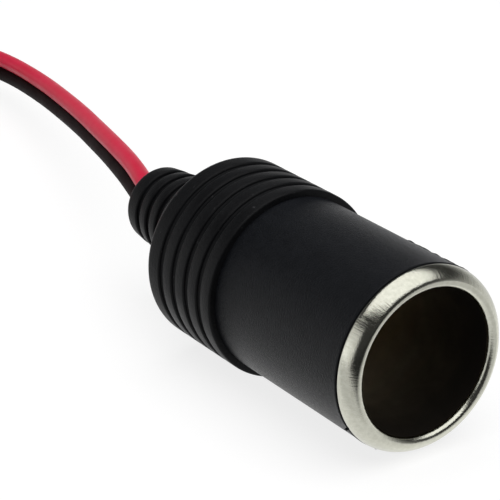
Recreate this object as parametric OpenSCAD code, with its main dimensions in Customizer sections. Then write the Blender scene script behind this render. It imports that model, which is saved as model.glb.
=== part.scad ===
// Inline 12 V accessory socket on a twin lead.
// A drawn steel cup with a rolled rim is the outer contact. It sits in a plastic sleeve,
// and a ribbed soft boot with a strain relief closes the back and carries the lead.
// The x axis runs along the socket and out of its mouth. The origin is on the bore's axis,
// where the straight bore begins behind the rounded lip. Sizes are in millimetres.

/* [Contact shell] */
// Radius of the bore that takes the plug
bore_r = 10.5; // [9.5:0.1:11.5]
// Distance from the sleeve's shoulder back to the cup's floor
floor_past_shoulder = 6; // [4:0.1:7]
// Thickness of the drawn sheet
sheet_t = 0.4; // [0.3:0.05:0.6]
// Outside radius of the bend at the lip
lip_r = 0.9; // [0.7:0.05:1]
// Angle through which the lip turns out of the bore before the rim's crown, in degrees
lip_turn = 125; // [118:1:130]
// Radius of the rim's crown
crown_r = 3; // [2.8:0.1:3.4]
// Angle at which the crown ends and the bead begins, in degrees from the bore's wall
crown_end = 172; // [165:1:178]
// Radius of the bead at the rim's edge
bead_r = 0.5; // [0.45:0.05:0.55]
// Inside radius of the cup's floor corner
floor_corner_r = 2; // [1:0.1:2.2]

/* [Sleeve] */
// Thickness of the sleeve's wall round the cup
sleeve_wall = 2.15; // [1.9:0.05:2.15]
// Distance from the mouth to the shoulder that the boot meets
shoulder_at = 30; // [26:0.1:34]
// Thickness of the spigot's wall inside the boot
spigot_wall = 1.1; // [0.8:0.05:1.3]
// Radius of the snap bead round the spigot
snap_r = 0.35; // [0.2:0.05:0.5]
// Distance from the shoulder to the snap bead
snap_at = 11; // [3:0.5:11]
// Thickness of the inner ledge
ledge_t = 1.1; // [0.8:0.1:2]
// Radius on the sleeve's front edge
sleeve_edge_r = 0.2; // [0.1:0.05:0.4]

/* [Boot collar] */
// Length of the collar, from the shoulder to its back
collar_len = 17.7; // [15:0.1:20]
// Thickness of the collar's wall at a rib
collar_wall = 1.95; // [1.5:0.05:2.5]
// Distance from the collar's front to the middle of its first groove
first_groove = 2.9; // [2:0.1:3.5]
// Number of grooves round the collar
groove_count = 4; // [3:1:5]
// Width of a collar groove
groove_w = 1; // [0.5:0.05:1.3]
// Depth of a collar groove
groove_d = 0.45; // [0.3:0.05:0.8]
// Rounding of the collar's ribs
rib_round = 0.3; // [0.1:0.05:0.4]
// Length of the collar behind its last groove
collar_tail = 4.95; // [3.5:0.05:6]
// Radius of the collar's rear edge
collar_edge_r = 1.3; // [0.5:0.1:1.8]
// Thickness of the wall across the back of the collar
back_t = 2; // [1.5:0.1:3]

/* [Strain relief] */
// Length of the strain relief behind the collar
relief_len = 18.8; // [15:0.1:26]
// Radius at its root
relief_root_r = 7.85; // [7.4:0.1:9]
// Radius at its end
relief_end_r = 5.9; // [5:0.1:7]
// Radius of its rear edge
relief_edge_r = 1; // [0.4:0.05:1.2]
// Distance from its end to the middle of the last groove
last_groove = 3.95; // [3:0.05:5]
// Distance from the collar to the middle of the groove nearest to it
root_groove = 2.05; // [1.5:0.05:3]
// Number of grooves
relief_grooves = 5; // [3:1:6]
// Width of a groove
relief_groove_w = 1.1; // [0.4:0.05:1.2]
// Depth of a groove
relief_groove_d = 0.6; // [0.3:0.05:0.8]
// Radius of the room inside for the parting cores
room_r = 5.2; // [5:0.1:5.6]
// Length of the moulding that grips the lead
grip_len = 13.8; // [9:0.1:15]

/* [Contacts] */
// How far the inner insulating washer shows round the centre contact
washer_lap = 0.4; // [0.2:0.05:0.6]
// Thickness of the inner insulating washer
inner_washer_t = 0.8; // [0.5:0.1:1.5]
// Gap between the centre contact and the earth rivet's head
contact_clear = 0.7; // [0.5:0.05:1.5]
// Thickness of the centre contact's metal
contact_t = 0.5; // [0.3:0.05:0.8]
// Height of the centre contact's rim
contact_h = 1.2; // [0.8:0.1:2.5]
// Thickness of the spacer between the cup's floor and the rear plate
spacer_t = 1.2; // [1.2:0.1:2.2]
// Radius of the hole in the cup's floor
floor_hole_r = 2.6; // [2.2:0.1:3]
// Play of the rear plate in the sleeve
plate_play = 0.2; // [0.1:0.05:0.5]
// Thickness of the rear plate
plate_t = 1.2; // [0.8:0.1:2]
// Radius of the centre rivet's shank
rivet_r = 1.5; // [1.2:0.1:1.7]
// Radius of the hole up the centre rivet
rivet_hole_r = 0.9; // [0.6:0.1:1]
// Radius of the centre rivet's head
rivet_head_r = 2.3; // [2:0.1:2.8]
// Thickness of the centre rivet's head and of its rolled tail
rivet_head_t = 0.5; // [0.4:0.1:0.8]
// Radius of the earth rivet's shank
earth_rivet_r = 0.75; // [0.6:0.05:0.9]
// Radius of the earth rivet's head
earth_head_r = 1.4; // [1.2:0.1:1.5]
// Width of the spacer outside the earth rivet's hole
earth_land = 0.8; // [0.5:0.05:1]

/* [Solder tags] */
// Thickness of the tag metal
tag_t = 0.5; // [0.4:0.05:0.6]
// Width of a tag's tongue
tag_w = 2.4; // [1.8:0.1:2.6]
// Distance of a tongue's inner face from the axis
tag_at = 3.95; // [3.8:0.05:4.1]
// Distance from a tongue's end to the boot's back wall
tag_room = 2.3; // [2:0.05:3]
// Radius of the ring that the centre rivet holds
tag_ring_r = 3; // [2.6:0.1:3.1]
// Radius of the eye that the earth rivet holds
tag_eye_r = 1.6; // [1.4:0.1:1.8]
// Inside radius of a tag's bend
tag_bend_r = 0.3; // [0.2:0.05:0.5]
// Thickness of the lock washer
lock_washer_t = 0.5; // [0.3:0.1:0.8]
// Radius of the lock washer
lock_washer_r = 2.7; // [2.5:0.1:2.9]

/* [Lead] */
// Radius of one core over its insulation
core_r = 1.5; // [1.35:0.05:1.55]
// Depth to which the two cores are merged into one lead
web_depth = 0.1; // [0:0.05:0.15]
// Radius of the bare strand
strand_r = 0.6; // [0.4:0.05:0.7]
// Length of a stripped and tinned end
tip_len = 8; // [5:0.5:12]
// Thickness of the solder round a strand
solder_t = 0.35; // [0.2:0.05:0.4]
// Thickness of the shrunk tube over a joint
shrink_t = 0.35; // [0.2:0.05:0.5]
// Thickness of the crimped band on the lead
band_t = 0.5; // [0.3:0.05:0.8]
// Length of the crimped band on the lead
band_len = 2.4; // [1.6:0.1:3]

/* [Hidden] */
$fn = 96;

// Running clearance between a rivet or spigot and its hole
slip = 0.1;
// Gap between parts that stop short of each other
seat_gap = 0.1;
// Gap between the spigot's end and the boot's back wall
end_gap = 0.2;
// Room behind a rolled tail before the next part
tail_gap = 0.3;
// Bare length of strand between a tag and the core's insulation
bare_len = 0.6;
// Thickness of the solder between a strand and its tag
solder_film = 0.05;
// Play of a shrunk tube round its core, and its length behind the tag
shrink_play = 0.4;
shrink_tail = 1.8;
// Gap between the earth rivet's tail and the bend of its tag
earth_clear = 0.15;
// Straight run of the cores between the fan and the band
band_room = 0.6;
// Angle by which the lip's bend runs on under the crown, so that the two make one piece
bend_lap = 2;
// How far a cutter runs on past the face it opens
past = 1;

// Radii from the bore outwards
shell_r = bore_r + sheet_t;
sleeve_bore_r = shell_r + slip;
sleeve_r = sleeve_bore_r + sleeve_wall;
spigot_r = sleeve_bore_r + spigot_wall;
boot_bore_r = spigot_r + slip;
collar_r = boot_bore_r + collar_wall;

// Places along x, all behind the mouth
shoulder_x = -shoulder_at;
floor_in_x = shoulder_x - floor_past_shoulder;
floor_out_x = floor_in_x - sheet_t;
plate_front_x = floor_out_x - spacer_t;
plate_back_x = plate_front_x - plate_t;
tag_back_x = plate_back_x - tag_t;
lock_back_x = tag_back_x - lock_washer_t;
tail_back_x = lock_back_x - rivet_head_t;
ledge_front_x = plate_front_x + ledge_t;
collar_back_x = shoulder_x - collar_len;
back_wall_x = collar_back_x + back_t;
spigot_end_x = back_wall_x + end_gap;
relief_end_x = collar_back_x - relief_len;
grip_front_x = relief_end_x + grip_len;
groove_pitch = (collar_len - first_groove - collar_tail) / (groove_count - 1);
relief_pitch = (relief_len - last_groove - root_groove) / (relief_grooves - 1);

// The lip, crown and bead of the cup: three arcs that run on into each other
lip_c = [bore_r + lip_r, 0];
crown_c = lip_c + (lip_r - crown_r) * rim_way(lip_turn);
bead_c = crown_c + (crown_r - bead_r) * rim_way(crown_end);
bead_back_x = bead_c[1] - bead_r;
function rim_way(turn) = [-cos(turn), sin(turn)];

// Radii of the contacts inside
earth_at = tag_at + tag_bend_r + tag_t + earth_clear + earth_head_r;
ledge_r = earth_at + earth_rivet_r + slip / 2 + earth_land + slip;
contact_r = earth_at - earth_head_r - contact_clear;
inner_washer_r = contact_r + washer_lap;
plate_r = sleeve_bore_r - plate_play;

// The joints behind the tags
strand_z = tag_at - strand_r - solder_film;
strand_front_x = tail_back_x - seat_gap;
tongue_end_x = back_wall_x + tag_room;
shrink_r = core_r + shrink_play;
shrink_z = strand_z + slip;
shrink_front_x = tail_back_x - tail_gap;
shrink_back_x = tongue_end_x - shrink_tail;
core_front_x = tongue_end_x - bare_len;
core_half = core_r - web_depth / 2;

// The two cores fan out behind the tags, run one above the other through the grip, leave
// the boot level, sink slowly in one long curve and lie on the ground in an open loop.
// The points are measured from the middle of the strain relief's end. A fourth number turns
// the pair about its run, in degrees from upright. lie_z and pair_z are the heights at which
// one core and the pair lie on the ground, collar_r below the axis.
lie_z = core_r - collar_r;
pair_z = lie_z + core_half;
exit = [relief_end_x, 0, 0];
meet_x = grip_front_x + seat_gap + band_len + band_room;
fan = [[core_front_x, 0, strand_z], [shrink_back_x, 0, strand_z], [meet_x, 0, core_half]];
pair_route = [[8, 0, 0], [0, 0, 0], [-5, 0.9, 0.1, 6], [-10, 2.7, 0, 9],
    [-17, 5.1, -0.4, 9], [-25, 7.6, -1.1, 4], [-33, 10.1, -1.9], [-41, 12.5, -2.8],
    [-49, 14.9, -3.6], [-57, 17, -4.4], [-65, 18.9, -5.1], [-73, 20.7, -5.8],
    [-81, 22.2, -6.5], [-88, 23.2, -7], [-95, 23.9, -7.5], [-102, 24.1, -8],
    [-110.5, 23.2, -8.7], [-118.5, 20, -9.4], [-125.5, 14.5, -10.1], [-131, 7.5, -10.6],
    [-134.5, -0.5, -11], [-135.5, -9, pair_z], [-134.5, -17.5, pair_z],
    [-130.5, -25.5, pair_z], [-125, -32, pair_z], [-118, -36.5, pair_z],
    [-110, -39, pair_z], [-102, -39, pair_z], [-94.5, -37, pair_z], [-88, -33, pair_z],
    [-83, -28, pair_z], [-79.5, -22, pair_z], [-78, -15.5, pair_z]];
red_tail = [[-76.2, -9, -9.7], [-76, -2, -11.2], [-79, 5.5, lie_z], [-84, 10.5, lie_z],
    [-89.5, 13, lie_z]];
black_tail = [[-78.4, -9, lie_z], [-80, -2.5, lie_z], [-82.8, 3, lie_z],
    [-86.5, 7, lie_z], [-91, 9, lie_z]];
lays = [for (p = concat(fan, pair_route, red_tail)) lay(p)];
red_route = concat(fan, [for (p = pair_route) core_at(p, 1)],
    [for (p = red_tail) exit + p]);
black_route = concat([for (p = fan) [p[0], p[1], -p[2]]],
    [for (p = pair_route) core_at(p, -1)], [for (p = black_tail) exit + p]);
function lay(p) = let (turn = len(p) > 3 ? p[3] : 0) [0, sin(turn), cos(turn)];
function core_at(p, side) = exit + [p[0], p[1], p[2]] + side * core_half * lay(p);

function unit(v) = v / norm(v);
function last(a) = a[len(a) - 1];

// Solid of revolution about the x axis from a profile of [radius, x]
module turned() {
    rotate([0, 90, 0]) rotate_extrude() children();
}

// Washer or disc about the x axis
module disc(r, back_x, front_x, hole = 0) {
    turned() translate([hole, back_x]) square([r - hole, front_x - back_x]);
}

// Profile of a ring whose outer corners are round
module rib(r_in, r_out, back_x, front_x, back_round, front_round) {
    deep = max(back_round, front_round);
    translate([r_in, back_x]) square([r_out - deep - r_in, front_x - back_x]);
    translate([r_in, back_x + back_round])
        square([r_out - r_in, front_x - front_round - back_x - back_round]);
    if (back_round > 0) corner(r_out, r_in, back_x, back_round, 1);
    if (front_round > 0) corner(r_out, r_in, front_x, front_round, -1);
}

// One round outer corner of a ring, filled down to its inner radius
module corner(r_out, r_in, x, round_r, way) {
    translate([r_out - round_r, x + way * round_r]) circle(round_r);
    low_x = min(x, x + way * round_r);
    translate([r_in, low_x]) square([r_out - round_r - r_in, round_r]);
}

// Bent strip of sheet: a sector of a ring between two directions
module bend(c, r_out, t, from, to) {
    far = 2 * r_out;
    mid = (from + to) / 2;
    translate(c) intersection() {
        difference() {
            circle(r_out);
            circle(r_out - t);
        }
        polygon([[0, 0], far * [cos(from), sin(from)], far * [cos(mid), sin(mid)],
            far * [cos(to), sin(to)]]);
    }
}

// Drawn cup with its lip turned out into a domed rim that ends in a bead
module contact_shell() {
    corner_out_r = floor_corner_r + sheet_t;
    color([0.83, 0.81, 0.76]) difference() {
        turned() {
            translate([bore_r, floor_in_x + floor_corner_r])
                square([sheet_t, -floor_in_x - floor_corner_r]);
            bend([bore_r - floor_corner_r, floor_in_x + floor_corner_r], corner_out_r,
                sheet_t, -90, 0);
            translate([0, floor_out_x])
                square([bore_r - floor_corner_r, sheet_t]);
            bend(lip_c, lip_r, sheet_t, 180 - lip_turn - bend_lap, 180);
            bend(crown_c, crown_r, sheet_t, 180 - crown_end, 180 - lip_turn);
            translate(bead_c) circle(bead_r);
        }
        disc(floor_hole_r, floor_out_x - past, floor_in_x + past);
        earth_hole(floor_out_x, floor_in_x);
    }
}

// Hole for the earth rivet, below the axis, through a wall from one face to the other
module earth_hole(back_x, front_x) {
    translate([0, 0, -earth_at])
        disc(earth_rivet_r + slip / 2, back_x - past, front_x + past);
}

// Moulded sleeve: smooth in front, a thinner spigot behind, and a ledge for the cup
module housing_sleeve() {
    color([0.12, 0.125, 0.14]) turned() difference() {
        union() {
            rib(ledge_r, sleeve_r, shoulder_x, bead_back_x, 0, sleeve_edge_r);
            translate([ledge_r, spigot_end_x])
                square([spigot_r - ledge_r, shoulder_x - spigot_end_x]);
            translate([spigot_r - snap_r / 2, shoulder_x - snap_at]) circle(snap_r);
        }
        translate([0, ledge_front_x]) square([sleeve_bore_r, -ledge_front_x]);
        translate([0, spigot_end_x - past])
            square([sleeve_bore_r, plate_front_x - spigot_end_x + past]);
    }
}

// Soft boot: ribbed collar, back wall and strain relief in one moulding
module rear_boot() {
    collar_floor_r = collar_r - groove_d;
    color([0.1, 0.1, 0.105]) difference() {
        turned() difference() {
            union() {
                rib(0, collar_floor_r, collar_back_x, shoulder_x, collar_edge_r, 0);
                for (i = [0 : groove_count]) collar_rib(i);
                relief_profile();
            }
            translate([0, back_wall_x])
                square([boot_bore_r, shoulder_x - back_wall_x + past]);
            translate([spigot_r - snap_r / 2, shoulder_x - snap_at])
                circle(snap_r + slip);
            translate([0, grip_front_x])
                square([room_r, back_wall_x - grip_front_x + past]);
        }
        for (z = [-core_half, core_half])
            translate([relief_end_x - past, 0, z]) rotate([0, 90, 0])
                cylinder(r = core_r + slip / 2, h = grip_len + 2 * past);
    }
}

// One rib of the collar, counted from the front
module collar_rib(i) {
    front_x = i == 0 ? shoulder_x : groove_x(i - 1) - groove_w / 2;
    back_x = i == groove_count ? collar_back_x : groove_x(i) + groove_w / 2;
    rib(boot_bore_r, collar_r, back_x, front_x, i == groove_count ? collar_edge_r
        : rib_round, rib_round);
}
function groove_x(i) = shoulder_x - first_groove - i * groove_pitch;

// Tapering relief with a ring between each pair of grooves
module relief_profile() {
    core_end_r = relief_end_r - relief_groove_d;
    core_root_r = relief_root_r - relief_groove_d;
    polygon([[0, relief_end_x], [core_end_r, relief_end_x],
        [core_root_r, collar_back_x + back_t / 2], [0, collar_back_x + back_t / 2]]);
    for (i = [0 : relief_grooves]) {
        back_x = i == 0 ? relief_end_x : relief_groove_x(i - 1) + relief_groove_w / 2;
        front_x = i == relief_grooves ? collar_back_x + back_t / 2
            : relief_groove_x(i) - relief_groove_w / 2;
        ring_r = relief_r_at((back_x + front_x) / 2);
        rib(0, ring_r, back_x, front_x, i == 0 ? relief_edge_r : rib_round, rib_round);
    }
}
function relief_groove_x(i) = relief_end_x + last_groove + i * relief_pitch;
function relief_r_at(x) = relief_end_r + (relief_root_r - relief_end_r)
    * (x - relief_end_x) / relief_len;

// Insulating washer on the cup's floor
module inner_washer() {
    color([0.45, 0.3, 0.2])
        disc(inner_washer_r, floor_in_x, floor_in_x + inner_washer_t, rivet_r + slip);
}

// Shallow cup that the plug's tip presses on
module centre_contact() {
    back_x = floor_in_x + inner_washer_t;
    color([0.8, 0.72, 0.5]) {
        disc(contact_r, back_x, back_x + contact_t, rivet_r + slip);
        disc(contact_r, back_x, back_x + contact_h, contact_r - contact_t);
    }
}

// Tubular rivet through the whole stack, its tail rolled over the lock washer
module centre_rivet() {
    head_back_x = floor_in_x + inner_washer_t + contact_t;
    color([0.8, 0.68, 0.42]) difference() {
        union() {
            disc(rivet_head_r, head_back_x, head_back_x + rivet_head_t);
            disc(rivet_r, tail_back_x, head_back_x);
            disc(rivet_head_r, tail_back_x, lock_back_x);
        }
        disc(rivet_hole_r, tail_back_x - past, plate_front_x);
    }
}

// Spacer whose nose keeps the rivet clear of the cup's floor
module spacer_washer() {
    color([0.45, 0.3, 0.2]) difference() {
        union() {
            disc(ledge_r - slip, plate_front_x, floor_out_x, rivet_r + slip);
            disc(floor_hole_r - slip, plate_front_x, floor_in_x, rivet_r + slip);
        }
        earth_hole(plate_front_x, floor_out_x);
    }
}

// Insulating plate behind the sleeve's ledge, which holds the cup in
module rear_plate() {
    color([0.5, 0.33, 0.2]) difference() {
        disc(plate_r, plate_back_x, plate_front_x, rivet_r + slip);
        earth_hole(plate_back_x, plate_front_x);
    }
}

// Tongue of a tag: up from the rivet, then bent back along the lead
module tongue(root_z) {
    bend_out_r = tag_bend_r + tag_t;
    top_z = tag_at + tag_t;
    translate([0, tag_w / 2, 0]) rotate([90, 0, 0]) linear_extrude(tag_w) {
        translate([tag_back_x, root_z]) square([tag_t, top_z - bend_out_r - root_z]);
        bend([plate_back_x - bend_out_r, top_z - bend_out_r], bend_out_r, tag_t, 0, 90);
        translate([tongue_end_x, tag_at])
            square([plate_back_x - bend_out_r - tongue_end_x, tag_t]);
    }
}

// Solder tag under the centre rivet
module positive_tag() {
    color([0.82, 0.7, 0.4]) difference() {
        union() {
            disc(tag_ring_r, tag_back_x, plate_back_x);
            tongue(0);
        }
        disc(rivet_r + slip, tag_back_x - past, plate_back_x + past);
    }
}

// Solder tag on the earth rivet, its tongue bent towards the lead
module earth_tag() {
    color([0.8, 0.8, 0.78]) difference() {
        union() {
            translate([0, 0, -earth_at]) disc(tag_eye_r, tag_back_x, plate_back_x);
            mirror([0, 0, 1]) earth_tongue();
        }
        earth_hole(tag_back_x, plate_back_x);
    }
}

// The earth tag comes in from outside, so its bend turns the other way
module earth_tongue() {
    bend_out_r = tag_bend_r + tag_t;
    translate([0, tag_w / 2, 0]) rotate([90, 0, 0]) linear_extrude(tag_w) {
        translate([tag_back_x, tag_at + bend_out_r])
            square([tag_t, earth_at - tag_at - bend_out_r]);
        bend([plate_back_x - bend_out_r, tag_at + bend_out_r], bend_out_r, tag_t, -90, 0);
        translate([tongue_end_x, tag_at])
            square([plate_back_x - bend_out_r - tongue_end_x, tag_t]);
    }
}

// Washer that bites the positive tag
module lock_washer() {
    color([0.7, 0.7, 0.72])
        disc(lock_washer_r, lock_back_x, tag_back_x, rivet_r + slip);
}

// Rivet that ties the earth tag to the cup's floor
module earth_rivet() {
    color([0.78, 0.78, 0.76]) translate([0, 0, -earth_at]) {
        disc(earth_head_r, floor_in_x, floor_in_x + rivet_head_t);
        disc(earth_rivet_r, tag_back_x, floor_in_x);
        disc(earth_head_r - slip, tag_back_x - rivet_head_t, tag_back_x);
    }
}

// Bare strand of a core, laid along its tag's tongue
module strand(way) {
    translate([core_front_x, 0, way * strand_z]) rotate([0, 90, 0])
        cylinder(r = strand_r, h = strand_front_x - core_front_x);
}
module positive_strand() { color([0.85, 0.5, 0.3]) strand(1); }
module earth_strand() { color([0.85, 0.5, 0.3]) strand(-1); }

// Solder round a strand, with flat sides against the tongue
module solder(way) {
    back_x = tongue_end_x + seat_gap;
    front_x = strand_front_x - 2 * seat_gap;
    difference() {
        translate([0, 0, way * strand_z])
            disc(strand_r + solder_t, back_x, front_x, strand_r);
        translate([back_x - past, -tag_w, way > 0 ? tag_at : -tag_at - tag_w])
            cube([front_x - back_x + 2 * past, 2 * tag_w, tag_w]);
    }
}
module positive_solder() { color([0.72, 0.72, 0.74]) solder(1); }
module earth_solder() { color([0.72, 0.72, 0.74]) solder(-1); }

// Shrunk tube over a joint
module shrink_tube(way) {
    translate([0, 0, way * shrink_z])
        disc(shrink_r + shrink_t, shrink_back_x, shrink_front_x, shrink_r);
}
module positive_shrink_tube() { color([0.6, 0.08, 0.1]) shrink_tube(1); }
module earth_shrink_tube() { color([0.09, 0.09, 0.09]) shrink_tube(-1); }

// Crimped band on both cores, too wide to be pulled through the grip
module lead_band() {
    hole_r = core_r + slip / 2;
    color([0.65, 0.66, 0.68]) translate([grip_front_x + seat_gap, 0, 0])
        rotate([90, 0, 90]) linear_extrude(band_len) difference() {
            stadium(hole_r + band_t);
            stadium(hole_r);
        }
}
module stadium(r) {
    for (z = [-core_half, core_half]) translate([0, z]) circle(r);
    translate([-r, -core_half]) square([2 * r, 2 * core_half]);
}

// Eight-sided tube along a route. Each ring has a flat towards the other core of the pair.
module tube(route, r) {
    n = len(route);
    sides = 8;
    rings = [for (i = [0 : n - 1])
        let (along = unit(route[min(i + 1, n - 1)] - route[max(i - 1, 0)]),
            across = unit(cross(along, lays[i])), up = cross(across, along))
        for (k = [0 : sides - 1])
            let (a = (k + 0.5) * 360 / sides) route[i] + r * (cos(a) * across + sin(a) * up)];
    faces = concat([[for (k = [0 : sides - 1]) k]],
        [[for (k = [0 : sides - 1]) n * sides - 1 - k]],
        [for (i = [0 : n - 2], k = [0 : sides - 1])
            let (a = i * sides + k, b = i * sides + (k + 1) % sides)
            [a, a + sides, b + sides, b]]);
    polyhedron(rings, faces, convexity = 8);
}
module cord_red() { color([0.78, 0.15, 0.22]) tube(red_route, core_r); }
module cord_black() { color([0.08, 0.075, 0.07]) tube(black_route, core_r); }

// Tinned end that runs on level from the end of a core
module tip(route) {
    along = last(route) - route[len(route) - 2];
    translate(last(route)) rotate([0, 90, atan2(along[1], along[0])])
        cylinder(r = strand_r, h = tip_len);
}
module red_tip() { color([0.75, 0.75, 0.76]) tip(red_route); }
module black_tip() { color([0.75, 0.75, 0.76]) tip(black_route); }

housing_sleeve();
rear_boot();
contact_shell();
inner_washer();
centre_contact();
centre_rivet();
spacer_washer();
rear_plate();
positive_tag();
lock_washer();
earth_rivet();
earth_tag();
positive_strand();
earth_strand();
positive_solder();
earth_solder();
positive_shrink_tube();
earth_shrink_tube();
lead_band();
cord_red();
cord_black();
red_tip();
black_tip();
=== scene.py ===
"""Looks of an inline 12 V accessory socket on a red and black twin lead."""
import bpy
from math import atan2, cos, hypot, pi, radians, sin
from mathutils import Matrix, Vector


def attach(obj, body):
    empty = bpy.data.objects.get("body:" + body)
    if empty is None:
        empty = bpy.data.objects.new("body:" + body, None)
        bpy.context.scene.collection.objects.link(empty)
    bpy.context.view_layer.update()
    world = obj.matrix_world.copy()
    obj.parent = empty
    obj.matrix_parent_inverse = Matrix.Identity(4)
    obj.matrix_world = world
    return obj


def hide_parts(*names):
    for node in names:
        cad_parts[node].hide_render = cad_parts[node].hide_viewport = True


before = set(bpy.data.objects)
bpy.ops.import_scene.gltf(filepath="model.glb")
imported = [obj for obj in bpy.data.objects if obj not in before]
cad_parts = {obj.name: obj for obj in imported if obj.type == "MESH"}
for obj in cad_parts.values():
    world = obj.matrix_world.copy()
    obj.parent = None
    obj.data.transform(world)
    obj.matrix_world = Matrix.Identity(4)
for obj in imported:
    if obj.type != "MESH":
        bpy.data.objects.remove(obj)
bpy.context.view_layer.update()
MM = 0.001

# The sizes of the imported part, in millimetres. The x axis runs out of the mouth.
BORE_R = 10.5
SHEET_T = 0.4
LIP_R = 0.9
LIP_TURN = 125
CROWN_R = 3.0
CROWN_END = 172
BEAD_R = 0.5
SLEEVE_R = 13.15
SLEEVE_BORE_R = 11.0
SPIGOT_R = 12.1
BOOT_BORE_R = 12.2
COLLAR_R = 14.15
SHOULDER_X = -30.0
COLLAR_LEN = 17.7
COLLAR_GROOVES = [-32.9, -36.183, -39.467, -42.75]
COLLAR_EDGE_R = 1.3
COLLAR_SHORT = 0.8  # the photo's collar ends this much before the solid's
RELIEF_LEN = 18.8
RELIEF_OFF = (0.3, 0.5)  # how far right and up the photo's relief sits on the collar
RELIEF_END_R, RELIEF_ROOT_R = 5.9, 7.85
RELIEF_GROOVES = [-49.75, -52.95, -56.15, -59.35, -62.55]
GRIP_LEN = 13.8
BACK_WALL_T = 2
ROOM_R = 5.2
CORE_R = 1.5
CORE_HALF = 1.45
COLLAR_BACK_X = SHOULDER_X - COLLAR_LEN
BACK_WALL_X = COLLAR_BACK_X + BACK_WALL_T
RELIEF_END_X = COLLAR_BACK_X - RELIEF_LEN
GRIP_FRONT_X = RELIEF_END_X + GRIP_LEN
GROUND_Z = -COLLAR_R
LIE_Z = CORE_R + GROUND_Z
PAIR_Z = LIE_Z + CORE_HALF

# The cup's floor, and the sleeve's ledge behind it.
FLOOR_HOLE_R = 2.6
FLOOR_BEND_R = 2
FLOOR_BEND_X = -34
FLOOR_X = FLOOR_BEND_X - FLOOR_BEND_R
LEDGE_FRONT_X, LEDGE_BACK_X, LEDGE_R = -36.5, -37.6, 8
SPIGOT_GAP = 0.2

# The sleeve's flared front edge as (along, outwards), and the fins on it as (turn in degrees,
# back, front, height, width).
FLARE = [(0, 0.02), (-0.08, 0.07), (-0.3, 0.06), (-1.2, 0)]
FINS = [(37, -14, -2, 0.34, 0.16), (40, -7, -2, 0.36, 0.12),
        (236, -2.3, -1.9, 0.9, 0.16), (208, -2.2, -1.9, 0.5, 0.3)]
FIN_SLICES = 24

# The boot's roundings, its grooves, and the play of its holes round the cores.
RIB_EDGE_R = 0.3
GROOVE_W, GROOVE_D = 1, 0.45
RELIEF_GROOVE_W, RELIEF_GROOVE_D = 1.1, 0.6
RELIEF_EDGE_R = 1
ROOT_FILLET_R = 0.35
HOLE_PLAY = 0.05
MIDDLE_R = 0.6  # the ring at which an end face is closed
RELIEF_SKIN = (4.6, 9)  # the radii between which the relief's outer skin lies

# A stripped end: its radius, its slices and the degrees that each turns on.
TIP_R, TIP_STEP, TIP_STEPS, TIP_TWIST = 0.6, 0.25, 32, 6

NEAR = 0.05  # how far a vertex or face may lie from where a size puts it


# ---------------------------------------------------------------- workbench

def clear_bench():
    """Nothing stays selected, so that an operator acts on the new piece alone."""
    if bpy.context.object and bpy.context.object.mode != "OBJECT":
        bpy.ops.object.mode_set(mode="OBJECT")
    bpy.ops.object.select_all(action="DESELECT")


def take(piece):
    clear_bench()
    piece.select_set(True)
    bpy.context.view_layer.objects.active = piece
    return piece


def name_new(name):
    piece = bpy.context.object
    piece.name = piece.data.name = name
    return piece


def arc(x, r, radius, start, end, steps):
    """Points (x, radius) of an arc round (x, r): 0 degrees looks outwards, 90 to the mouth."""
    turns = [radians(start + (end - start) * i / steps) for i in range(steps + 1)]
    return [(x + radius * sin(t), r + radius * cos(t)) for t in turns]


def turned(name, outline, sides=144, smooth=40):
    """A lathe piece: a ring is drawn along the axis and resized at each point of the outline."""
    clear_bench()
    x, r = outline[0]
    bpy.ops.mesh.primitive_circle_add(vertices=sides, radius=r * MM, fill_type="NOTHING",
                                      location=(x * MM, 0, 0), rotation=(0, pi / 2, 0))
    piece = name_new(name)
    bpy.ops.object.transform_apply(location=True, rotation=True, scale=True)
    bpy.ops.object.mode_set(mode="EDIT")
    bpy.ops.mesh.select_all(action="SELECT")
    for next_x, next_r in outline[1:]:
        bpy.ops.mesh.extrude_edges_move(
            TRANSFORM_OT_translate={"value": ((next_x - x) * MM, 0, 0)})
        bpy.ops.transform.resize(value=(1, next_r / r, next_r / r),
                                 center_override=(next_x * MM, 0, 0))
        x, r = next_x, next_r
    bpy.ops.mesh.select_all(action="SELECT")
    bpy.ops.mesh.remove_doubles(threshold=1e-6)
    bpy.ops.mesh.select_all(action="DESELECT")
    bpy.ops.mesh.select_mode(type="EDGE")
    bpy.ops.mesh.select_non_manifold(extend=False)
    bpy.ops.mesh.fill_holes(sides=0)
    bpy.ops.mesh.select_mode(type="VERT")
    bpy.ops.mesh.select_all(action="SELECT")
    bpy.ops.mesh.normals_make_consistent(inside=False)
    bpy.ops.object.mode_set(mode="OBJECT")
    bpy.ops.object.shade_smooth_by_angle(angle=radians(smooth))
    return piece


def drill(piece, z, radius, back_x, front_x):
    """A round hole along x, cut with a cylinder that is thrown away."""
    clear_bench()
    bpy.ops.mesh.primitive_cylinder_add(vertices=48, radius=radius * MM,
                                        depth=(front_x - back_x) * MM, rotation=(0, pi / 2, 0),
                                        location=((front_x + back_x) / 2 * MM, 0, z * MM))
    bit = name_new("drill_bit")
    take(piece)
    cut = piece.modifiers.new("hole", "BOOLEAN")
    cut.operation = "DIFFERENCE"
    cut.object = bit
    bpy.ops.object.modifier_apply(modifier=cut.name)
    bpy.data.objects.remove(bit)


def stands_for(piece, node):
    """The piece shows a CAD node of the root: it hangs under the root's body, and the node is
    hidden.
    """
    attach(piece, "root")
    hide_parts(node)
    return piece


# ---------------------------------------------------------------- finishes

def add(tree, kind, inputs=None, **settings):
    """One shader node, with its settings and with values or links for its inputs."""
    made = tree.nodes.new(kind)
    for key, value in settings.items():
        setattr(made, key, value)
    for key, value in (inputs or {}).items():
        if isinstance(value, bpy.types.NodeSocket):
            tree.links.new(value, made.inputs[key])
        else:
            made.inputs[key].default_value = value
    return made


def maths(tree, operation, *values):
    return add(tree, "ShaderNodeMath", dict(enumerate(values)), operation=operation).outputs[0]


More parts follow.
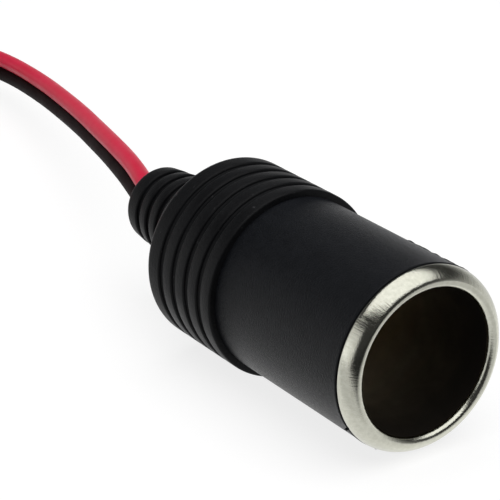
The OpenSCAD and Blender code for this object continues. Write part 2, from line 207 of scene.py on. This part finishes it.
def object_place(tree):
    return add(tree, "ShaderNodeTexCoord").outputs["Object"]


def along(tree, place, direction):
    """How far a place lies along a direction, times the direction's length."""
    return add(tree, "ShaderNodeVectorMath", {0: place, 1: direction},
               operation="DOT_PRODUCT").outputs["Value"]


def noise(tree, place, scale, detail, roughness):
    return add(tree, "ShaderNodeTexNoise", {"Vector": place, "Scale": scale, "Detail": detail,
                                            "Roughness": roughness}).outputs["Fac"]


def spread(tree, value, low, high, out_low=0.0, out_high=1.0):
    """The value's range low to high, spread over another range."""
    return add(tree, "ShaderNodeMapRange", {"Value": value, "From Min": low, "From Max": high,
                                            "To Min": out_low, "To Max": out_high}).outputs[0]


def new_group(name, ins, outs):
    """An empty effect with named inputs (name, value) and outputs."""
    tree = bpy.data.node_groups.new(name, "ShaderNodeTree")
    for label, value in ins:
        socket = tree.interface.new_socket(label, in_out="INPUT", socket_type="NodeSocketFloat")
        socket.default_value = value
    for label in outs:
        tree.interface.new_socket(label, in_out="OUTPUT", socket_type="NodeSocketFloat")
    return tree, tree.nodes.new("NodeGroupInput").outputs, tree.nodes.new("NodeGroupOutput").inputs


def moulded_grain():
    """Fine mottle of a spark-eroded mould. Size is the grain's width in metres."""
    tree, ins, outs = new_group("moulded_grain", [("Size", 0.0003)], ["Height", "Cloud"])
    place = object_place(tree)
    scale = maths(tree, "DIVIDE", 1.0, ins["Size"])
    fine = noise(tree, place, scale, 3.0, 0.6)
    cloud = noise(tree, place, maths(tree, "MULTIPLY", scale, 0.13), 4.0, 0.55)
    tree.links.new(fine, outs["Height"])
    tree.links.new(spread(tree, cloud, 0.3, 0.7), outs["Cloud"])
    return tree


def drawn_ripple():
    """Faint ripples that the drawing tool leaves, along the radius, and soft stains."""
    tree, ins, outs = new_group("drawn_ripple", [("Ripples", 40.0), ("Stain size", 0.002)],
                                ["Height", "Stain"])
    place = object_place(tree)
    across = add(tree, "ShaderNodeVectorMath", {0: place, 1: (0, 1, 1)}, operation="MULTIPLY")
    way = add(tree, "ShaderNodeVectorMath", {0: across.outputs[0]}, operation="NORMALIZE")
    round_it = add(tree, "ShaderNodeVectorMath", {0: way.outputs[0], "Scale": ins["Ripples"]},
                   operation="SCALE")
    ripple = noise(tree, round_it.outputs[0], 1.0, 3.0, 0.55)
    stain = noise(tree, place, maths(tree, "DIVIDE", 1.0, ins["Stain size"]), 5.0, 0.6)
    tree.links.new(ripple, outs["Height"])
    tree.links.new(spread(tree, stain, 0.35, 0.65), outs["Stain"])
    return tree


def handling():
    """Dust and rubbed places from handling."""
    tree, ins, outs = new_group("handling", [("Specks", 0.5)], ["Dust", "Rub"])
    place = object_place(tree)
    specks = noise(tree, place, 900.0, 2.0, 0.7)
    over = maths(tree, "SUBTRACT", specks, maths(tree, "SUBTRACT", 0.86, ins["Specks"]))
    rub = noise(tree, place, 160.0, 4.0, 0.6)
    tree.links.new(spread(tree, over, 0.0, 0.08), outs["Dust"])
    tree.links.new(spread(tree, rub, 0.35, 0.7), outs["Rub"])
    return tree


GRAIN, RIPPLE, HANDLING = moulded_grain(), drawn_ripple(), handling()


def new_finish(name, **constants):
    """A Principled finish, with what is the same all over set on its own sockets."""
    made = bpy.data.materials.new(name)
    made.use_nodes = True
    tree = made.node_tree
    shader = tree.nodes["Principled BSDF"]
    for key, value in constants.items():
        shader.inputs[key.replace("_", " ")].default_value = value
    return made, tree, shader


def effect(tree, group, **values):
    made = tree.nodes.new("ShaderNodeGroup")
    made.node_tree = group
    for key, value in values.items():
        made.inputs[key.replace("_", " ")].default_value = value
    return made.outputs


def blend_colours(tree, amount, first, second):
    made = add(tree, "ShaderNodeMix", data_type="RGBA")
    for socket, value in (("Factor", amount), ("A", first), ("B", second)):
        target = [i for i in made.inputs if i.name == socket and i.enabled][0]
        if isinstance(value, bpy.types.NodeSocket):
            tree.links.new(value, target)
        else:
            target.default_value = value if socket == "Factor" else (*value, 1)
    return [o for o in made.outputs if o.enabled][0]


def raise_surface(tree, shader, height, depth):
    bump = add(tree, "ShaderNodeBump", {"Height": height, "Strength": 1.0, "Distance": depth})
    tree.links.new(bump.outputs[0], shader.inputs["Normal"])


def sleeve_plastic():
    """Hard black plastic, moulded with a fine mottle."""
    made, tree, shader = new_finish("sleeve_plastic", Specular_IOR_Level=0.125)
    grain = effect(tree, GRAIN, Size=0.00022)
    marks = effect(tree, HANDLING, Specks=0.1)
    colour = blend_colours(tree, grain["Cloud"], (0.0048, 0.0054, 0.007), (0.0078, 0.0087, 0.0108))
    colour = blend_colours(tree, marks["Dust"], colour, (0.07, 0.07, 0.075))
    tree.links.new(colour, shader.inputs["Base Color"])
    tree.links.new(spread(tree, grain["Height"], 0.3, 0.7, 0.26, 0.42), shader.inputs["Roughness"])
    raise_surface(tree, shader, grain["Height"], 0.0001)
    return made


def boot_rubber():
    """Soft matt black moulding, rubbed here and there."""
    made, tree, shader = new_finish("boot_rubber", Specular_IOR_Level=0.105)
    grain = effect(tree, GRAIN, Size=0.00035)
    marks = effect(tree, HANDLING, Specks=0.16)
    colour = blend_colours(tree, marks["Rub"], (0.0055, 0.0057, 0.0064), (0.008, 0.0083, 0.0092))
    colour = blend_colours(tree, marks["Dust"], colour, (0.05, 0.05, 0.053))
    tree.links.new(colour, shader.inputs["Base Color"])
    tree.links.new(spread(tree, marks["Rub"], 0, 1, 0.34, 0.48), shader.inputs["Roughness"])
    raise_surface(tree, shader, grain["Height"], 0.00005)
    return made


def nickel():
    """Bright plating over drawn sheet, with ripples along the radius."""
    made, tree, shader = new_finish("nickel", Metallic=1.0)
    ripple = effect(tree, RIPPLE, Ripples=50.0, Stain_size=0.0006)
    fine = effect(tree, GRAIN, Size=0.00018)
    colour = blend_colours(tree, ripple["Stain"], (0.61, 0.61, 0.52), (0.68, 0.68, 0.59))
    tree.links.new(colour, shader.inputs["Base Color"])
    tree.links.new(spread(tree, fine["Height"], 0.3, 0.7, 0.07, 0.2), shader.inputs["Roughness"])
    height = maths(tree, "MULTIPLY_ADD", fine["Height"], 0.9, ripple["Height"])
    raise_surface(tree, shader, height, 0.00002)
    return made


def bore_dark_painted_glow():
    """The cup's inside: near black, with a painted brown glow of reflected light deeper and higher
    up.
    """
    made, tree, shader = new_finish("bore_dark_painted_glow", Specular_IOR_Level=0.15)
    ripple = effect(tree, RIPPLE, Ripples=30.0, Stain_size=0.004)
    # Painted glow: the colour turns brown deeper in the bore and higher up, standing for light
    # reflected into it; the stain only varies it a little.
    depth = along(tree, object_place(tree), (-43, 0, 5))
    painted_glow = maths(tree, "MULTIPLY_ADD", ripple["Stain"], 0.06, depth)
    painted_glow = maths(tree, "POWER", spread(tree, painted_glow, 0.0, 1.0), 2.7)
    colour = blend_colours(tree, painted_glow, (0.01, 0.0083, 0.0065), (0.8, 0.66, 0.44))
    tree.links.new(colour, shader.inputs["Base Color"])
    tree.links.new(spread(tree, ripple["Stain"], 0, 1, 0.6, 0.5), shader.inputs["Roughness"])
    raise_surface(tree, shader, ripple["Height"], 0.00001)
    return made


def core_plastic(name, dark, light, gloss, rough=0.3):
    """Soft extruded covering: slow bands along it, and a bloom that hands rub off."""
    made, tree, shader = new_finish(name, Specular_IOR_Level=gloss)
    grain = effect(tree, GRAIN, Size=0.0008)
    marks = effect(tree, HANDLING, Specks=0.1)
    colour = blend_colours(tree, grain["Cloud"], dark, light)
    colour = blend_colours(tree, marks["Dust"], colour, [min(1, 0.05 + c) for c in light])
    tree.links.new(colour, shader.inputs["Base Color"])
    tree.links.new(spread(tree, marks["Rub"], 0, 1, rough, rough + 0.12),
                   shader.inputs["Roughness"])
    raise_surface(tree, shader, grain["Height"], 0.00001)
    return made


def worked_metal(name, dark, light, rough):
    """Rolled or pressed metal of the inside pieces, a little stained."""
    made, tree, shader = new_finish(name, Metallic=1.0)
    ripple = effect(tree, RIPPLE, Ripples=30.0, Stain_size=0.0012)
    colour = blend_colours(tree, ripple["Stain"], dark, light)
    tree.links.new(colour, shader.inputs["Base Color"])
    tree.links.new(spread(tree, ripple["Stain"], 0, 1, rough + 0.1, rough),
                   shader.inputs["Roughness"])
    raise_surface(tree, shader, ripple["Height"], 0.00001)
    return made


def plain_grained(name, dark, light, rough):
    """Pressed fibre and shrunk tube."""
    made, tree, shader = new_finish(name, Specular_IOR_Level=0.4)
    grain = effect(tree, GRAIN, Size=0.0006)
    colour = blend_colours(tree, grain["Cloud"], dark, light)
    tree.links.new(colour, shader.inputs["Base Color"])
    tree.links.new(spread(tree, grain["Cloud"], 0, 1, rough, rough + 0.1),
                   shader.inputs["Roughness"])
    raise_surface(tree, shader, grain["Height"], 0.00002)
    return made


def dress(piece, *finishes):
    piece.data.materials.clear()
    for finish in finishes:
        piece.data.materials.append(finish)


# ---------------------------------------------------------------- sleeve

def flash(turn, back_x, front_x, height, width):
    """Ragged fin of plastic that the mould leaves along a parting line."""
    clear_bench()
    lean, length = radians(turn), front_x - back_x
    bpy.ops.mesh.primitive_cube_add(
        size=1, location=((back_x + length / 2) * MM, SLEEVE_R * sin(lean) * MM,
                          SLEEVE_R * cos(lean) * MM),
        rotation=(-lean, 0, 0), scale=(length * MM, width * MM, height * MM))
    fin = name_new("flash")
    bpy.ops.object.transform_apply(location=True, rotation=True, scale=True)
    bpy.ops.object.mode_set(mode="EDIT")
    for i in range(1, FIN_SLICES):
        bpy.ops.mesh.select_all(action="SELECT")
        bpy.ops.mesh.bisect(plane_co=((back_x + length * i / FIN_SLICES) * MM, 0, 0),
                            plane_no=(1, 0, 0))
    bpy.ops.object.mode_set(mode="OBJECT")
    for point in fin.data.vertices:
        out = hypot(point.co.y, point.co.z) / MM
        if out > SLEEVE_R:
            x = point.co.x / MM
            less = 1 - 0.45 * height * abs(sin(5.1 * x) * sin(1.7 * x + 1)) / out
            point.co.y *= less
            point.co.z *= less
    return fin


def make_sleeve():
    front_x = rim_arcs()[2][0] - BEAD_R
    spigot_end_x = BACK_WALL_X + SPIGOT_GAP
    outline = [(front_x, SLEEVE_BORE_R)]
    outline += [(front_x + x, SLEEVE_R + out) for x, out in FLARE]
    outline += [(SHOULDER_X, SLEEVE_R), (SHOULDER_X, SPIGOT_R), (spigot_end_x, SPIGOT_R),
                (spigot_end_x, SLEEVE_BORE_R), (LEDGE_BACK_X, SLEEVE_BORE_R),
                (LEDGE_BACK_X, LEDGE_R), (LEDGE_FRONT_X, LEDGE_R),
                (LEDGE_FRONT_X, SLEEVE_BORE_R), (front_x, SLEEVE_BORE_R)]
    sleeve = turned("sleeve", outline, sides=192)
    fins = [flash(*fin) for fin in FINS]
    take(sleeve)
    for fin in fins:
        fin.select_set(True)
    bpy.ops.object.join()
    dress(sleeve, sleeve_plastic())
    return stands_for(sleeve, "housing_sleeve")


# ---------------------------------------------------------------- boot

def relief_r(x):
    """Outer radius of the tapered relief."""
    return RELIEF_END_R + (RELIEF_ROOT_R - RELIEF_END_R) * (x - RELIEF_END_X) / RELIEF_LEN


def groove(x, radius, width, depth, back):
    """A groove from front to back: rounded rib, wall, filleted floor, wall, rounded rib."""
    fillet, edge = 0.12, RIB_EDGE_R
    front_x, back_x = x + width / 2, x - width / 2
    low = min(radius, back) - depth
    points = arc(front_x + edge, radius - edge, edge, 0, -90, 4)
    points += arc(front_x - fillet, low + fillet, fillet, 90, 180, 3)
    points += arc(back_x + fillet, low + fillet, fillet, 180, 270, 3)
    return points + arc(back_x - edge, back - edge, edge, 90, 0, 4)


def shift_relief(boot):
    """The soft relief sits a little off the axis, up to the holes of the cores."""
    root_x = COLLAR_BACK_X + COLLAR_SHORT + NEAR
    for point in boot.data.vertices:
        x, r = point.co.x / MM, hypot(point.co.y, point.co.z) / MM
        in_room = abs(x - GRIP_FRONT_X) < NEAR and r < ROOM_R + NEAR
        if x < root_x and RELIEF_SKIN[0] < r < RELIEF_SKIN[1] and not in_room:
            point.co.y += RELIEF_OFF[0] * MM
            point.co.z += RELIEF_OFF[1] * MM


def make_boot():
    outline = [(GRIP_FRONT_X, MIDDLE_R), (GRIP_FRONT_X, ROOM_R), (BACK_WALL_X, ROOM_R),
               (BACK_WALL_X, BOOT_BORE_R), (SHOULDER_X, BOOT_BORE_R)]
    outline += arc(SHOULDER_X - RIB_EDGE_R, COLLAR_R - RIB_EDGE_R, RIB_EDGE_R, 90, 0, 4)
    for x in COLLAR_GROOVES:
        outline += groove(x, COLLAR_R, GROOVE_W, GROOVE_D, COLLAR_R)
    edge, back_x = COLLAR_EDGE_R, COLLAR_BACK_X + COLLAR_SHORT
    outline += arc(back_x + edge, COLLAR_R - edge, edge, 0, -90, 10)
    outline += arc(back_x - ROOT_FILLET_R, relief_r(back_x) + ROOT_FILLET_R, ROOT_FILLET_R,
                   90, 180, 4)
    half_w = RELIEF_GROOVE_W / 2
    for x in RELIEF_GROOVES:
        outline += groove(x, relief_r(x + half_w), RELIEF_GROOVE_W, RELIEF_GROOVE_D,
                          relief_r(x - half_w))
    end_x = RELIEF_END_X + RELIEF_EDGE_R
    outline += arc(end_x, relief_r(end_x) - RELIEF_EDGE_R, RELIEF_EDGE_R, 0, -90, 8)
    outline += [(RELIEF_END_X, MIDDLE_R)]
    boot = turned("boot", outline, sides=192)
    for z in (-CORE_HALF, CORE_HALF):
        drill(boot, z, CORE_R + HOLE_PLAY, RELIEF_END_X - 1, GRIP_FRONT_X + 1)
    shift_relief(boot)
    dress(boot, boot_rubber())
    return stands_for(boot, "rear_boot")


# ---------------------------------------------------------------- contact shell

def rim_arcs():
    """Middles (x, radius) of the arcs of the lip, the crown and the bead."""
    def way(turn):
        return Vector((sin(radians(turn)), -cos(radians(turn))))
    lip = Vector((0, BORE_R + LIP_R))
    crown = lip + (LIP_R - CROWN_R) * way(LIP_TURN)
    return lip, crown, crown + (CROWN_R - BEAD_R) * way(CROWN_END)


def make_shell():
    lip, crown, bead = rim_arcs()
    bend = FLOOR_BEND_X, BORE_R - FLOOR_BEND_R
    outline = [(FLOOR_X, FLOOR_HOLE_R)] + arc(*bend, FLOOR_BEND_R, -90, 0, 10)
    outline += [(-12, BORE_R)]  # one more ring, so that the long bore shades evenly
    outline += arc(*lip, LIP_R, 180, 180 - LIP_TURN, 14)
    outline += arc(*crown, CROWN_R, 180 - LIP_TURN, 180 - CROWN_END, 14)
    outline += arc(*bead, BEAD_R, 180 - CROWN_END, -150, 12)
    outline += arc(*crown, CROWN_R - SHEET_T, 180 - CROWN_END, 180 - LIP_TURN, 8)
    outline += arc(*lip, LIP_R - SHEET_T, 180 - LIP_TURN, 180, 8)
    outline += arc(*bend, FLOOR_BEND_R + SHEET_T, 0, -90, 10)
    outline += [(FLOOR_X - SHEET_T, FLOOR_HOLE_R), (FLOOR_X, FLOOR_HOLE_R)]
    shell = turned("contact_cup", outline, sides=256)
    dress(shell, nickel(), bore_dark_painted_glow())
    for face in shell.data.polygons:
        x, y, z = face.center
        inside = hypot(y, z) < (BORE_R + NEAR) * MM and x < -NEAR * MM and face.normal.x > -0.5
        face.material_index = 1 if inside else 0
    return stands_for(shell, "contact_shell")


# ---------------------------------------------------------------- lead

# The lead's way in millimetres. FAN: inside the boot, from the tags to the boot's end. PAIR: the
# middle line of both cores from the boot's end, with the pair's turn in degrees where it has one.
# The tails: each core by itself, from where the two part to the stripped end.
EXIT = (RELIEF_END_X, 0, 0)
FAN = [(-44.0, 0, 3.3), (-45.2, 0, 3.3), (-49.6, 0, CORE_HALF)]
PAIR = [(8, 0, 0), (0, 0, 0), (-5, 0.9, 0.1, 6), (-10, 2.7, 0, 9), (-17, 5.1, -0.4, 9),
        (-25, 7.6, -1.1, 4), (-33, 10.1, -1.9), (-41, 12.5, -2.8), (-49, 14.9, -3.6),
        (-57, 17, -4.4), (-65, 18.9, -5.1), (-73, 20.7, -5.8), (-81, 22.2, -6.5),
        (-88, 23.2, -7), (-95, 23.9, -7.5), (-102, 24.1, -8), (-110.5, 23.2, -8.7),
        (-118.5, 20, -9.4), (-125.5, 14.5, -10.1), (-131, 7.5, -10.6), (-134.5, -0.5, -11),
        (-135.5, -9, PAIR_Z), (-134.5, -17.5, PAIR_Z), (-130.5, -25.5, PAIR_Z),
        (-125, -32, PAIR_Z), (-118, -36.5, PAIR_Z), (-110, -39, PAIR_Z),
        (-102, -39, PAIR_Z), (-94.5, -37, PAIR_Z), (-88, -33, PAIR_Z), (-83, -28, PAIR_Z),
        (-79.5, -22, PAIR_Z), (-78, -15.5, PAIR_Z)]
RED_TAIL = [(-76.2, -9, -9.7), (-76, -2, -11.2), (-79, 5.5, LIE_Z), (-84, 10.5, LIE_Z),
            (-89.5, 13, LIE_Z)]
BLACK_TAIL = [(-78.4, -9, LIE_Z), (-80, -2.5, LIE_Z), (-82.8, 3, LIE_Z),
              (-86.5, 7, LIE_Z), (-91, 9, LIE_Z)]


def route(side, tail):
    """A core's points in metres, from its joint inside the boot to its stripped end."""
    points = [(x, y, side * z) for x, y, z in FAN]
    for x, y, z, *turn in PAIR:
        lean = radians(turn[0]) if turn else 0
        points.append((EXIT[0] + x, y + side * CORE_HALF * sin(lean),
                       z + side * CORE_HALF * cos(lean)))
    points += [(EXIT[0] + x, y, z) for x, y, z in tail]
    return [Vector(p) * MM for p in points]


def make_core(name, node, points, finish):
    """One insulated core: a smooth curve through the route's points, round in section."""
    clear_bench()
    line = bpy.data.curves.new(name, "CURVE")
    line.dimensions = "3D"
    line.resolution_u = 8
    line.bevel_depth = CORE_R * MM
    line.bevel_resolution = 6
    line.use_fill_caps = True
    thread = line.splines.new("NURBS")
    thread.points.add(len(points) - 1)
    for knot, point in zip(thread.points, points):
        knot.co = (*point, 1)
    thread.order_u = 4
    thread.use_endpoint_u = True
    core = bpy.data.objects.new(name, line)
    bpy.context.scene.collection.objects.link(core)
    core.data.materials.append(finish)
    stands_for(core, node)
    return core


def make_tip(name, node, points, finish):
    """Stripped end: seven tinned strands laid up with a slow twist."""
    clear_bench()
    bpy.ops.mesh.primitive_circle_add(vertices=48, radius=TIP_R * MM, fill_type="NGON",
                                      rotation=(0, pi / 2, 0))
    tip = name_new(name)
    bpy.ops.object.transform_apply(location=True, rotation=True, scale=True)
    for point in tip.data.vertices:
        turn = atan2(point.co.z, point.co.y)
        inwards = 0.98 - 0.16 * abs(sin(3 * turn)) ** 4
        point.co.y *= inwards
        point.co.z *= inwards
    bpy.ops.object.mode_set(mode="EDIT")
    bpy.ops.mesh.select_all(action="SELECT")
    step = TIP_STEP * MM
    for i in range(TIP_STEPS):
        bpy.ops.mesh.extrude_region_move(TRANSFORM_OT_translate={"value": (step, 0, 0)})
        if i:
            bpy.ops.transform.rotate(value=radians(TIP_TWIST), orient_axis="X",
                                     center_override=((i + 1) * step, 0, 0))
    bpy.ops.mesh.select_all(action="SELECT")
    bpy.ops.mesh.normals_make_consistent(inside=False)
    bpy.ops.object.mode_set(mode="OBJECT")
    last = points[-1] - points[-2]
    tip.location = points[-1]
    tip.rotation_euler = (0, 0, atan2(last.y, last.x))
    bpy.ops.object.transform_apply(location=True, rotation=True, scale=True)
    bpy.ops.object.shade_smooth_by_angle(angle=radians(60))
    dress(tip, finish)
    return stands_for(tip, node)


def make_lead():
    tinned = worked_metal("tinned_copper", (0.6, 0.6, 0.62), (0.75, 0.75, 0.76), 0.25)
    red = core_plastic("core_red", (0.83, 0.014, 0.06), (0.89, 0.026, 0.088), 0.16)
    black = core_plastic("core_black", (0.0085, 0.0036, 0.0042), (0.0115, 0.0056, 0.006),
                         0.05, 0.5)
    red_points, black_points = route(1, RED_TAIL), route(-1, BLACK_TAIL)
    red_end = make_tip("red_strands", "red_tip", red_points, tinned)
    black_end = make_tip("black_strands", "black_tip", black_points, tinned)
    make_core("red_core", "cord_red", red_points, red)
    make_core("black_core", "cord_black", black_points, black)


# ---------------------------------------------------------------- inside pieces

def dress_inside():
    brass = worked_metal("brass", (0.62, 0.45, 0.2), (0.78, 0.6, 0.3), 0.28)
    steel = worked_metal("plated_steel", (0.5, 0.5, 0.5), (0.66, 0.66, 0.65), 0.3)
    copper = worked_metal("copper_strand", (0.6, 0.28, 0.15), (0.75, 0.4, 0.24), 0.35)
    solder = worked_metal("solder", (0.5, 0.5, 0.52), (0.66, 0.66, 0.68), 0.3)
    fibre = plain_grained("fibre", (0.12, 0.055, 0.025), (0.2, 0.1, 0.05), 0.6)
    red_tube = plain_grained("shrink_red", (0.28, 0.012, 0.02), (0.38, 0.02, 0.03), 0.45)
    black_tube = plain_grained("shrink_black", (0.01, 0.01, 0.01), (0.016, 0.016, 0.016), 0.45)
    finishes = {
        "inner_washer": fibre, "spacer_washer": fibre, "rear_plate": fibre,
        "centre_contact": brass, "centre_rivet": brass, "positive_tag": brass,
        "lock_washer": steel, "earth_rivet": steel, "earth_tag": steel, "lead_band": steel,
        "positive_strand": copper, "earth_strand": copper,
        "positive_solder": solder, "earth_solder": solder,
        "positive_shrink_tube": red_tube, "earth_shrink_tube": black_tube}
    for name, finish in finishes.items():
        dress(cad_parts[name], finish)


# ---------------------------------------------------------------- studio

def floor_masks(tree, shiny):
    """Painted shade on the floor that only reflections see: painted half shade where the metal
    sees the paper, and a painted dark patch where it sees the dark side of the studio before the
    object. The camera sees plain white paper all over."""
    place = object_place(tree)
    ahead = along(tree, place, (0.827, -0.562, 0))
    aside = along(tree, place, (0.67, 0.754, 0))
    far = add(tree, "ShaderNodeVectorMath", {0: place}, operation="LENGTH").outputs["Value"]
    right = maths(tree, "MINIMUM", spread(tree, aside, 0.013, 0.025),
                  spread(tree, ahead, -0.015, 0))
    shade = spread(tree, ahead, 0.0112, 0.0145)
    for more in (right, spread(tree, far, 0.035, 0.1, 0, 0.7),
                 spread(tree, along(tree, place, (0.8, -0.4, 0)), 0.001, 0.007, 0, 0.6),
                 spread(tree, along(tree, place, (0, -1, 0)), 0.016, 0.022, 0, 0.5)):
        shade = maths(tree, "MAXIMUM", shade, more)
    # Painted dark patch: a wedge of floor before the object, dark in reflections only.
    wedge = maths(tree, "MINIMUM", along(tree, place, (1.445, 0.348, 0)),
                  along(tree, place, (0.63, -0.851, 0)))
    painted_dark_patch = spread(tree, wedge, 0.012, 0.037)
    return [maths(tree, "MULTIPLY", mask, shiny) for mask in (shade, painted_dark_patch)]


def make_ground():
    clear_bench()
    bpy.ops.mesh.primitive_plane_add(size=3, location=(0, 0, GROUND_Z * MM))
    ground = name_new("studio_floor")
    bpy.ops.object.transform_apply(location=True, rotation=True, scale=True)
    made, tree, shader = new_finish("white_floor", Base_Color=(0.3, 0.3, 0.3, 1), Roughness=0.9,
                                    Specular_IOR_Level=0.1)
    # Reflections alone see the painted shade and painted dark patch: there the glow dims and the
    # paper turns dark. The camera and diffuse light see plain paper.
    rays = add(tree, "ShaderNodeLightPath").outputs
    shade, painted_dark_patch = floor_masks(tree, rays["Is Glossy Ray"])
    lit = maths(tree, "MULTIPLY", spread(tree, shade, 0, 1, 0.8, 0.4),
                spread(tree, painted_dark_patch, 0, 1, 1, 0))
    glow = add(tree, "ShaderNodeEmission", {"Color": (1, 1, 1, 1), "Strength": lit})
    dark = add(tree, "ShaderNodeBsdfDiffuse", {"Color": (0.03, 0.03, 0.03, 1)})
    paper = add(tree, "ShaderNodeMixShader", {0: painted_dark_patch, 1: shader.outputs[0],
                                              2: dark.outputs[0]}).outputs[0]
    both = add(tree, "ShaderNodeAddShader", {0: paper, 1: glow.outputs[0]}).outputs[0]
    seen = maths(tree, "MAXIMUM", rays["Is Camera Ray"], rays["Is Glossy Ray"])
    seen = maths(tree, "MAXIMUM", seen, rays["Is Transmission Ray"])
    choose = add(tree, "ShaderNodeMixShader", {0: seen, 1: paper, 2: both})
    tree.links.new(choose.outputs[0], tree.nodes["Material Output"].inputs["Surface"])
    ground.data.materials.append(made)


def soft_lamp(name, place, target, size, strength):
    clear_bench()
    bpy.ops.object.light_add(type="AREA", location=place)
    lamp = name_new(name)
    lamp.data.shape = "RECTANGLE"
    lamp.data.size, lamp.data.size_y = size
    lamp.data.energy = strength
    lamp.rotation_euler = (Vector(target) - Vector(place)).to_track_quat("-Z", "Y").to_euler()
    return lamp


def light_studio():
    """A large overhead box, as much light again that metal doesn't mirror, and a side panel."""
    overhead = (0.19, 0.06, 0.6), (0.19, 0.06, 0), (1.2, 0.88)
    box = soft_lamp("overhead_box", *overhead, 4.1)
    fill = soft_lamp("overhead_fill", *overhead, 4.2)
    fill.visible_glossy = False
    for lamp in (box, fill):
        lamp.rotation_euler = (0, 0, radians(18))
    soft_lamp("left_panel", (-0.12, -0.68, 0.19), (0, 0, 0.02), (1.05, 0.5), 1.15)
    light_backdrop()


def light_backdrop():
    """Pale low backdrop behind the object; the camera sees it white all the way up."""
    world = bpy.data.worlds.new("studio")
    bpy.context.scene.world = world
    world.use_nodes = True
    tree = world.node_tree
    way = add(tree, "ShaderNodeTexCoord").outputs["Generated"]
    height = add(tree, "ShaderNodeSeparateXYZ", {0: way}).outputs["Z"]
    low = spread(tree, height, 0.0, 0.4, 0.62, 0.0)
    behind = spread(tree, along(tree, way, (0.966, -0.259, 0)), -0.05, 0.75, 1.0, 0.0)
    glow = maths(tree, "MULTIPLY_ADD", low, behind, 0.04)
    rays = add(tree, "ShaderNodeLightPath").outputs
    seen = maths(tree, "MAXIMUM", rays["Is Camera Ray"], rays["Is Transmission Ray"])
    backdrop = tree.nodes["Background"].inputs
    tree.links.new(maths(tree, "MAXIMUM", glow, seen), backdrop["Strength"])
    backdrop["Color"].default_value = (1, 1, 1, 1)


def place_camera():
    """The photograph's view: seen from the front left, 22 degrees above the ground."""
    data = bpy.data.cameras.new("camera")
    camera = bpy.data.objects.new("camera", data)
    bpy.context.scene.collection.objects.link(camera)
    right = Vector((0.5617, 0.8273, 0))
    up = Vector((-0.3249, 0.2206, 0.9197))
    back = Vector((0.7609, -0.5166, 0.3927))
    turn = Matrix((right, up, back)).transposed().to_4x4()
    camera.matrix_world = Matrix.Translation(Vector((177.7, -148.25, 114.3)) * MM) @ turn
    data.sensor_width = 36
    data.lens = 141.66
    data.clip_start, data.clip_end = 0.01, 10
    bpy.context.scene.camera = camera
    bpy.context.scene.view_settings.view_transform = "Standard"


place_camera()
make_lead()
make_shell()
make_sleeve()
make_boot()
dress_inside()
make_ground()
light_studio()
